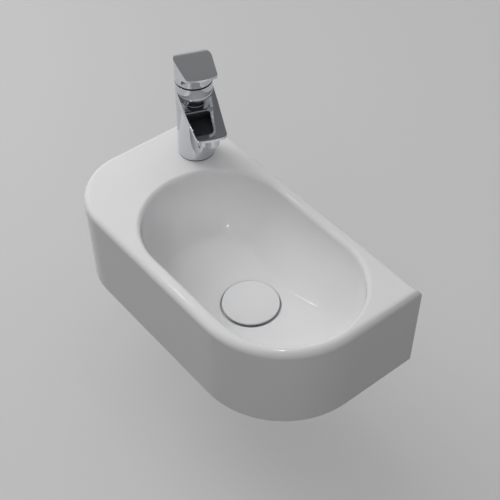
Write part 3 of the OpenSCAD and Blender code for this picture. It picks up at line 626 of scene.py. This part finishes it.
class MakeBody(bpy.types.Operator):
    """Makes the ceramic body with its rim, deck and bowl"""

    bl_idname = "basin.make_body"
    bl_label = "Ceramic body"

    def execute(self, context):
        s = sizes("basin_body")
        wide, deep, tall = s.width / MM, s.depth / MM, s.height / MM
        low, side = RIM_Z - tall, wide / 2
        wall, back_wall = s.wall / MM, 12

        def front_left(p):
            return p.x < -150 and p.y < -150

        def front_right(p):
            return p.x > 150 and p.y < -150

        body = block("Ceramic body", (-side, -deep, low), (side, 0, RIM_Z))
        # The walls lean in towards the bottom, but not the back, which lies on the wall
        select_where(body, "VERT", lambda p: p.z < 0)
        lean = s.draft / MM
        bpy.ops.transform.resize(value=(1 - lean / side, 1 - lean / deep, 1), center_override=(0, 0, low * MM))
        leave()
        round_edges(body, front_left, s.left_corner / MM, 36)
        round_edges(body, front_right, s.right_corner / MM, 44)
        # The rim is round but for its back edge
        round_edges(body, lambda p: p.z > RIM_Z - 0.01 and not (p.y > -0.01 and abs(p.x) < side - 1), s.rim / MM, 10)
        hollow = block("Hollow", (wall - side, wall - deep, low - 5), (side - wall, -back_wall, RIM_Z - s.deck / MM))
        round_edges(hollow, front_left, (s.left_corner - s.wall) / MM, 24)
        round_edges(hollow, front_right, (s.right_corner - s.wall) / MM, 28)
        round_edges(hollow, lambda p: p.z > 0, 4, 4)
        cut(body, hollow)
        place = in_bowl()
        combine(body, settle(bowl_shell(), place))
        for x in (-FIXING_X, FIXING_X):
            combine(body, lying_rod("Pad", 16, 10, (x, -11, 0), "Y", 48))
        cut(body, settle(bowl_room(), place), rod("Tap hole", 17.5, 40, 60, TAP_X, TAP_Y))
        for x in (-FIXING_X, FIXING_X):
            cut(body, lying_rod("Fixing hole", 6, 25, (x, -7.5, 0), "Y", 48))
        tidy(body)
        polish(body, 40)
        finish_piece(body, "glazed_ceramic", ROOT, "ceramic", "basin")
        return {"FINISHED"}


# ---------------------------------------------------------------- waste


class MakeWaste(bpy.types.Operator):
    """Makes the cap, the flange with its threaded tail, and the back nut"""

    bl_idname = "basin.make_waste"
    bl_label = "Waste"

    def execute(self, context):
        place = in_bowl()
        # The dome is part of a ball of this radius
        rim = CAP_LOW + CAP_EDGE
        ball_r = (CAP_R ** 2 + CAP_RISE ** 2) / (2 * CAP_RISE)
        profile = [(0, CAP_LOW), (33.1, CAP_LOW), (33.9, CAP_LOW + 0.3), (CAP_R, CAP_LOW + 1.0), (34.15, rim - 0.6)]
        for r in (33.95, 33.5, 32.7, 31.5, 30, 27, 23, 19, 15, 11, 7, 3.5, 0):
            drop = ball_r - math.sqrt(ball_r ** 2 - r ** 2)
            profile.append((r, rim + CAP_RISE - drop))
        cap = settle(turned("Cap", profile, 128), place)
        polish(cap, 50)
        finish_piece(cap, "glazed_ceramic", "cap", "ceramic", "waste_cap")

        tail = [
            (31.5, FLANGE_LOW), (31.5, FLANGE_TOP - 0.5), (31.0, FLANGE_TOP), (21.2, FLANGE_TOP),
            (17.0, FLANGE_TOP - 3.0), (17.0, TAIL_END + 0.5), (17.5, TAIL_END), (19.4, TAIL_END),
            (20.2, TAIL_END + 1.2)]
        height = TAIL_END + 1.6
        while height + THREAD_PITCH < NUT_LOW:
            tail += [(19.7, height), (20.9, height + 0.45 * THREAD_PITCH), (20.9, height + 0.6 * THREAD_PITCH)]
            height += THREAD_PITCH
        tail += [(19.8, height), (20.2, NUT_LOW), (20.2, FLANGE_LOW)]
        flange = settle(turned("Flange with tail", tail, 96, closed=True), place)
        polish(flange, 30)
        finish_piece(flange, "chrome_plate", ROOT, "chrome_brass", "waste_flange")

        # A hexagon with its lower corners turned off, and a round collar on top
        nut = rod("Back nut", NUT_WIDE / math.cos(math.pi / 6) / 2, NUT_LOW, NUT_LOW + NUT_THICK, sides=6)
        chamfer = turned("Chamfer", [
            (0, NUT_LOW - 1), (29.4, NUT_LOW - 1), (35.2, NUT_LOW + 2.4), (35.2, NUT_LOW + 8), (0, NUT_LOW + 8)], 96)
        combine(nut, chamfer, "INTERSECT")
        combine(nut, turned("Collar", [
            (0, NUT_LOW + 6.5), (34.2, NUT_LOW + 6.5), (34.6, NUT_LOW + 7), (34.6, NUT_LOW + 8.6), (34.2, NUT_LOW + 9),
            (0, NUT_LOW + 9)], 96))
        cut(nut, rod("Thread", 20.25, NUT_LOW - 5, NUT_LOW + 15, sides=96))
        settle(tidy(nut), place)
        polish(nut, 25)
        finish_piece(nut, "turned_brass", ROOT, "bare_brass", "waste_back_nut")
        return {"FINISHED"}


# ---------------------------------------------------------------- tap


def spout_top(a):
    """Height of the spout's hollow upper face, at a distance out from the tap's axis."""
    return SPOUT_CURVE_Z - math.sqrt(SPOUT_CURVE_R ** 2 - (a - SPOUT_CURVE_A) ** 2)


def spout_half(a):
    """Half width of the spout: as wide as the body at its root, and narrower towards the nose."""
    return SPOUT_HALF - 4.4 * max(a - 14, 0) / 66 - 0.6 * max(0, 1 - abs(a - 14) / 14)


def spout_end(v):
    """How far the nose reaches, across its width from -1 to 1: it bulges, and its corners are round."""
    corner = max(abs(v) - 0.74, 0) / 0.26
    return SPOUT_REACH - 1.8 * v * v - 4.2 * (1 - math.sqrt(max(1 - corner ** 2, 0)))


def spout():
    """The spout: a bar with a hollow upper face that grows out of the body in a soft curve."""
    columns, far, body_r, soft = 44, 36, 22.5, 2.5
    # Steps out from the body, close together where the upper face curves up to it
    steps = [-3.0, 0.0, 0.1, 0.3, 0.6, 1.0, 1.5, 2.1, 2.8, 3.6, 4.5, 5.5]
    near = len(steps)
    rows = near + far
    clear()
    bpy.ops.mesh.primitive_grid_add(x_subdivisions=rows - 1, y_subdivisions=columns, size=2)
    bar = fresh("Spout")
    for vertex in bar.data.vertices:
        i = round((vertex.co.x + 1) / 2 * (rows - 1))
        # Across from -1 to 1, closer together towards the sides
        v = math.sin(vertex.co.y * math.pi / 2) * 0.25 + vertex.co.y * 0.75
        start = math.sqrt(body_r ** 2 - (SPOUT_HALF * v) ** 2)
        if i < near:
            out = start + steps[i]
        else:
            t = (i - near + 1) / far
            out = start + steps[-1] + (spout_end(v) - start - steps[-1]) * t
        run = min(max(out - start, 0), soft)
        lift = soft - math.sqrt(soft ** 2 - (soft - run) ** 2)
        vertex.co = Vector((out, v * spout_half(out), spout_top(max(out, start)) + lift)) * MM
    # The underside is drawn down from the upper face, well below it, and laid flat
    drop = 60
    thicken(bar, (0, 0, -drop))
    for vertex in bar.data.vertices:
        if vertex.co.z / MM < drop:
            out = vertex.co.x / MM
            vertex.co.z = (SPOUT_UNDER - 5.0 * (out - body_r) / (SPOUT_REACH - body_r)) * MM
    return soften(bar, 2.4, 5, 50)


class MakeTapBody(bpy.types.Operator):
    """Makes the tap's body with its spout"""

    bl_idname = "basin.make_tap_body"
    bl_label = "Tap body"

    def execute(self, context):
        s = sizes("basin_tap")
        # The joint under the lever reads wider in the photo than the gap that the parts need
        radius, top = s.radius / MM, s.height / MM - 0.4
        body = turned("Tap casting", [
            (0, 1), (radius - 0.5, 1), (radius, 1.5), (radius, 30), (radius, 60), (radius, 84), (radius, top - 0.3),
            (radius - 0.1, top - 0.1), (radius - 0.3, top), (0, top)], 128)
        combine(body, spout())
        fillet = [
            (24 + 18 * (1 - math.cos(math.radians(a))), 65 + 18 * math.sin(math.radians(a))) for a in range(8, 88, 10)]
        web = side_block("Web", [(0, 60), (22.8, 63.5)] + fillet + [(50, 83.5), (0, 88)], 9.4)
        combine(body, web)
        boss = turned("Boss", [(0, 71.5), (11.2, 71.5), (11.5, 71.8), (11.5, 79.4), (0, 79.4)], 64)
        combine(body, settle(boss, Matrix.Translation((AERATOR_OUT * MM, 0, 0))))
        cut(body,
            rod("Recess", 18.95, 97, 115, sides=96), rod("Chamber", 17.6, 74, 98, sides=96),
            rod("Base hollow", 18.4, -2, 31, sides=96), rod("Stud hole", 4.05, 20, 43, -10, 0, 32),
            rod("Hot inlet", 4.5, 20, 43, 2, -8, 32), rod("Cold inlet", 4.5, 20, 43, 2, 8, 32),
            rod("Aerator bore", 9.45, 65, 79, AERATOR_OUT, 0, 48))
        tidy(body)
        settle(body, on_deck())
        polish(body, 32)
        finish_piece(body, "chrome_plate", ROOT, "chrome_brass", "tap_body")
        return {"FINISHED"}


class MakeLever(bpy.types.Operator):
    """Makes the lever"""

    bl_idname = "basin.make_lever"
    bl_label = "Lever"

    def execute(self, context):
        s = sizes("basin_tap")
        radius, top, reach = s.radius / MM, s.top / MM, s.lever / MM
        back, half, corner, bow = 15.4, 18.8, 4.5, 2.5
        front = reach - bow
        # Plan: round over the body, straight sides that run on from it, round front corners and a bowed front edge.
        # The sides touch both rounds at this angle
        side = 84.2
        plan = arc(0, 0, radius, side, 360 - side, 76)
        plan += arc(front - corner, corner - half, corner, -side, -12, 8)
        plan += [(reach - bow * (y / (half - corner)) ** 2, y) for y in (-9, -5, 0, 5, 9)]
        plan += arc(front - corner, half - corner, corner, 12, side, 8)
        slab = plan_block("Lever handle", plan, LEVER_LOW, top + 2)
        turn = arc(back - radius, top - back, back, 180, 90, 18)
        under = [
            (reach + 3, top - 2.4), (reach - 1, top - 2.7), (34, 131.6), (27.5, 128.6), (24, 126.0), (22, 122.5),
            (21.5, LEVER_LEDGE)]
        view = [(-radius, LEVER_LEDGE)] + turn + [(reach + 3, top)] + under
        combine(slab, side_block("Side", view, 30), "INTERSECT")
        tidy(slab)
        soften(slab, 0.9, 3, 40)
        # The casting is hollow under its front, where the plating hardly reaches
        slab.data.materials.append(bpy.data.materials["chrome_plate"])
        pocket = plan_block("Pocket", [
            (23.5, -16.6), (38, -16.6), (40.4, -14), (40.4, 14), (38, 16.6), (23.5, 16.6)], 118, 135.6)
        pocket.data.materials.append(bpy.data.materials["raw_zinc"])
        combine(slab, pocket, "DIFFERENCE")
        # The skirt is a hair thinner than the slab, so that their rounds don't coincide
        skirt_r, skirt_top = radius - 0.03, 121
        combine(slab, turned("Skirt", [
            (0, LEVER_LOW), (radius - 0.3, LEVER_LOW), (skirt_r, LEVER_LOW + 0.3), (skirt_r, skirt_top),
            (0, skirt_top)], 128))
        # The back of the skirt is cut away upwards, so that it clears the body when the lever lifts
        rear = -radius - 1
        rise = (radius + 1) * math.tan(math.radians(24))
        cut(slab,
            side_block("Bevel", [
                (0, LEVER_LOW), (rear, LEVER_LOW + rise), (rear, LEVER_LOW - 1), (0, LEVER_LOW - 1)], 30),
            ball("Hollow", 19.5, (0, 0, PIVOT_Z)), block("Stem socket", (-3.6, -3.6, PIVOT_Z), (3.6, 3.6, 132.1)),
            lying_rod("Screw hole", 2.6, 40, (-20, 0, SCREW_Z), "X", 32),
            lying_rod("Plug hole", 3.6, 22.5, (-28.75, 0, SCREW_Z), "X", 32))
        tidy(slab)
        settle(slab, on_deck())
        polish(slab, 32)
        finish_piece(slab, "chrome_plate", "lever", "chrome_zinc", "lever")
        return {"FINISHED"}


class MakeAerator(bpy.types.Operator):
    """Makes the aerator's ring"""

    bl_idname = "basin.make_aerator"
    bl_label = "Aerator"

    def execute(self, context):
        place = on_deck() @ Matrix.Translation((AERATOR_OUT * MM, 0, 0))
        ring = turned("Aerator shell", [
            (7.0, 66.0), (7.0, 65.2), (7.3, 65.0), (8.9, 65.0), (9.3, 65.4), (9.3, 66.4), (10.4, 66.5), (10.8, 66.9),
            (10.8, 71.2), (10.5, 71.5), (9.4, 71.5), (9.4, 77.5), (7.7, 77.5), (7.7, 66.0)], 96, closed=True)
        settle(ring, place)
        polish(ring, 40)
        finish_piece(ring, "chrome_plate", ROOT, "chrome_brass", "aerator_ring")
        return {"FINISHED"}


class FinishNodes(bpy.types.Operator):
    """Gives the parts that stay as they are their materials"""

    bl_idname = "basin.finish_nodes"
    bl_label = "Finish the parts"

    def execute(self, context):
        finishes = {
            "ceramic": "glazed_ceramic", "chrome_brass": "chrome_plate", "chrome_zinc": "chrome_plate",
            "bare_brass": "turned_brass", "steel": "zinc_plated_steel", "disc_ceramic": "glazed_ceramic",
            "plastic": "white_acetal", "rubber": "black_rubber"}
        for part in frame["record"]["subparts"]:
            obj = frame["nodes"][part["node"]]
            obj.data.materials.clear()
            # The dome under the lever is given a black material as painted shade, which makes the joint there dark as
            # if in shadow
            finish = "black_acetal" if part["node"] == "cartridge_cover" else finishes[part["material_slot"]]
            obj.data.materials.append(bpy.data.materials[finish])
        return {"FINISHED"}


# ---------------------------------------------------------------- stage


def is_seen(tree):
    """One where the camera sees a surface, straight or in metal or glass."""
    path = node(tree, "ShaderNodeLightPath")
    total = node(
        tree, "ShaderNodeMath", {0: path.outputs["Is Camera Ray"], 1: path.outputs["Is Glossy Ray"]}, operation="ADD")
    more = node(
        tree, "ShaderNodeMath", {0: total.outputs[0], 1: path.outputs["Is Transmission Ray"]}, operation="ADD")
    more.use_clamp = True
    return more.outputs[0]


def make_floor():
    """A pale floor that runs to the horizon."""
    clear()
    bpy.ops.mesh.primitive_plane_add(size=FLOOR_SIZE, location=(0, 0, FLOOR_Z))
    floor = fresh("Floor")
    material, tree = start_material("studio_floor")
    # The floor is pale where it is seen, also in the metal, keeps the shadow, and throws little light back up
    shade = node(tree, "ShaderNodeBsdfDiffuse", Color=(0.33, 0.33, 0.33, 1))
    # The lamps fade towards the edge of the floor, and the glow makes up for that as far as the horizon
    place = node(tree, "ShaderNodeTexCoord").outputs["Object"]
    far = node(tree, "ShaderNodeVectorMath", {0: place}, operation="LENGTH")
    level = spread_out(tree, far.outputs["Value"], 0.9, 3.6, 0.42, 1.0)
    level.interpolation_type = "SMOOTHSTEP"
    glow = node(tree, "ShaderNodeEmission", {"Strength": level.outputs["Result"]}, Color=colour("floor"))
    seen = node(tree, "ShaderNodeAddShader", {0: shade.outputs[0], 1: glow.outputs[0]})
    quiet = node(tree, "ShaderNodeBsdfDiffuse", Color=(0.22, 0.22, 0.22, 1))
    above = node(tree, "ShaderNodeMixShader", {0: is_seen(tree), 1: quiet.outputs[0], 2: seen.outputs[0]})
    # From below the floor is left out, so that the underside can be looked at
    under = node(tree, "ShaderNodeBsdfTransparent")
    back = node(tree, "ShaderNodeNewGeometry").outputs["Backfacing"]
    close_material(tree, node(tree, "ShaderNodeMixShader", {0: back, 1: above.outputs[0], 2: under.outputs[0]}))
    floor.data.materials.append(material)


def make_world(scene):
    """A pale room, which lights the object only a little."""
    world = bpy.data.worlds.new("Studio")
    scene.world = world
    world.use_nodes = True
    tree = world.node_tree
    tree.nodes.clear()
    path = node(tree, "ShaderNodeLightPath")
    pale = node(tree, "ShaderNodeBackground", Color=(*linear("#CFCFD0"), 1), Strength=1.0)
    # Metal and glaze show the same pale background, up to where it turns dark overhead for the chrome's contrast
    way = node(tree, "ShaderNodeTexCoord").outputs["Generated"]
    split = node(tree, "ShaderNodeSeparateXYZ", {"Vector": way})
    ramp = node(tree, "ShaderNodeValToRGB", {"Fac": split.outputs["Z"]})
    stops = ((0.0, 0.62), (0.3, 0.4), (0.7, 0.19), (0.88, 0.15), (1.0, 0.13))
    while len(ramp.color_ramp.elements) < len(stops):
        ramp.color_ramp.elements.new(0.5)
    for element, (at, level) in zip(ramp.color_ramp.elements, stops):
        element.position = at
        element.color = (level, level, level, 1)
    room = node(tree, "ShaderNodeBackground", {"Color": ramp.outputs["Color"]}, Strength=1.0)
    fill = node(tree, "ShaderNodeBackground", Color=(1, 1, 1, 1), Strength=0.01)
    shown = node(tree, "ShaderNodeMixShader", {
        0: path.outputs["Is Camera Ray"], 1: room.outputs[0], 2: pale.outputs[0]})
    mix = node(tree, "ShaderNodeMixShader", {0: is_seen(tree), 1: fill.outputs[0], 2: shown.outputs[0]})
    node(tree, "ShaderNodeOutputWorld", {"Surface": mix.outputs[0]})


def make_lamps():
    """Big soft sheets that light the glaze without a glare, and small lamps that put the glints on it."""
    aim = Vector((0, -0.1, 0))
    lamps = (  # name, place, size, power, seen in gloss
        ("Overhead sheet", (0, -0.1, 1.8), 2.6, 14.0, False),
        ("Left sheet", (-1.1, -0.4, 1.4), 2.0, 11.0, False),
        ("Low left sheet", (-1.5, -0.3, 0.9), 0.9, 10.0, False),
        ("Front sheet", (1.3, -1.2, 0.9), 0.8, 6.8, False),
        ("Back sheet", (-0.4, 1.8, 0.5), 1.0, 5.0, False),
        ("Overhead lamp", (-0.02, -0.02, 1.7), 0.1, 0.75, True),
        ("Left lamp", (-0.95, -0.3, 1.5), 0.08, 0.45, True),
        ("Front lamp", (0.75, -1.3, 1.3), 0.08, 0.35, True))
    for name, at, size, power, glossy in lamps:
        clear()
        bpy.ops.object.light_add(type="AREA", location=at)
        lamp = bpy.context.object
        lamp.name = name
        lamp.data.shape = "SQUARE"
        lamp.data.size = size
        lamp.data.energy = power
        lamp.visible_glossy = glossy
        lamp.rotation_euler = (aim - Vector(at)).to_track_quat("-Z", "Y").to_euler()


def make_camera(scene):
    """The camera, where the photo was taken from: the basin's straight edges and corner arcs give it."""
    azimuth, elevation = math.radians(50.85), math.radians(45.61)
    clear()
    bpy.ops.object.camera_add(
        location=(0.7206, -0.6663, 0.96), rotation=(math.pi / 2 - elevation, 0, azimuth))
    camera = bpy.context.object
    camera.data.lens = 80.96
    camera.data.sensor_width = 36
    camera.data.clip_start = 0.01
    scene.camera = camera


class MakeStage(bpy.types.Operator):
    """Makes the floor, the lamps and the camera"""

    bl_idname = "basin.make_stage"
    bl_label = "Stage"

    def execute(self, context):
        context.scene.view_settings.view_transform = "Standard"
        make_floor()
        make_world(context.scene)
        make_lamps()
        make_camera(context.scene)
        return {"FINISHED"}


class BasinPanel(bpy.types.Panel):
    """The pieces of the basin"""

    bl_idname = "VIEW3D_PT_basin"
    bl_label = "Cloakroom basin"
    bl_space_type = "VIEW_3D"
    bl_region_type = "UI"
    bl_category = "Basin"

    def draw(self, context):
        for operator in MAKERS:
            self.layout.operator(operator.bl_idname)
        for name in GROUPS:
            group = getattr(context.scene, name)
            box = self.layout.box()
            for field in group.bl_rna.properties.keys():
                if field not in ("rna_type", "name"):
                    box.prop(group, field)


GROUPS = {"basin_body": BasinSizes, "basin_bowl": BowlSizes, "basin_tap": TapSizes, "basin_finish": Finishes}
MAKERS = (MakeFinishes, FinishNodes, MakeBody, MakeWaste, MakeTapBody, MakeLever, MakeAerator, MakeStage)


def register():
    for cls in (*GROUPS.values(), *MAKERS, BasinPanel):
        bpy.utils.register_class(cls)
    for name, group in GROUPS.items():
        setattr(bpy.types.Scene, name, bpy.props.PointerProperty(type=group))


def unregister():
    for name in GROUPS:
        delattr(bpy.types.Scene, name)
    for cls in reversed((*GROUPS.values(), *MAKERS, BasinPanel)):
        bpy.utils.unregister_class(cls)


def main():
    register()
    bpy.ops.basin.make_finishes()
    bpy.ops.basin.finish_nodes()
    bpy.ops.basin.make_body()
    bpy.ops.basin.make_waste()
    bpy.ops.basin.make_tap_body()
    bpy.ops.basin.make_lever()
    bpy.ops.basin.make_aerator()
    bpy.ops.basin.make_stage()
    clear()


if __name__ == "__main__":
    main()
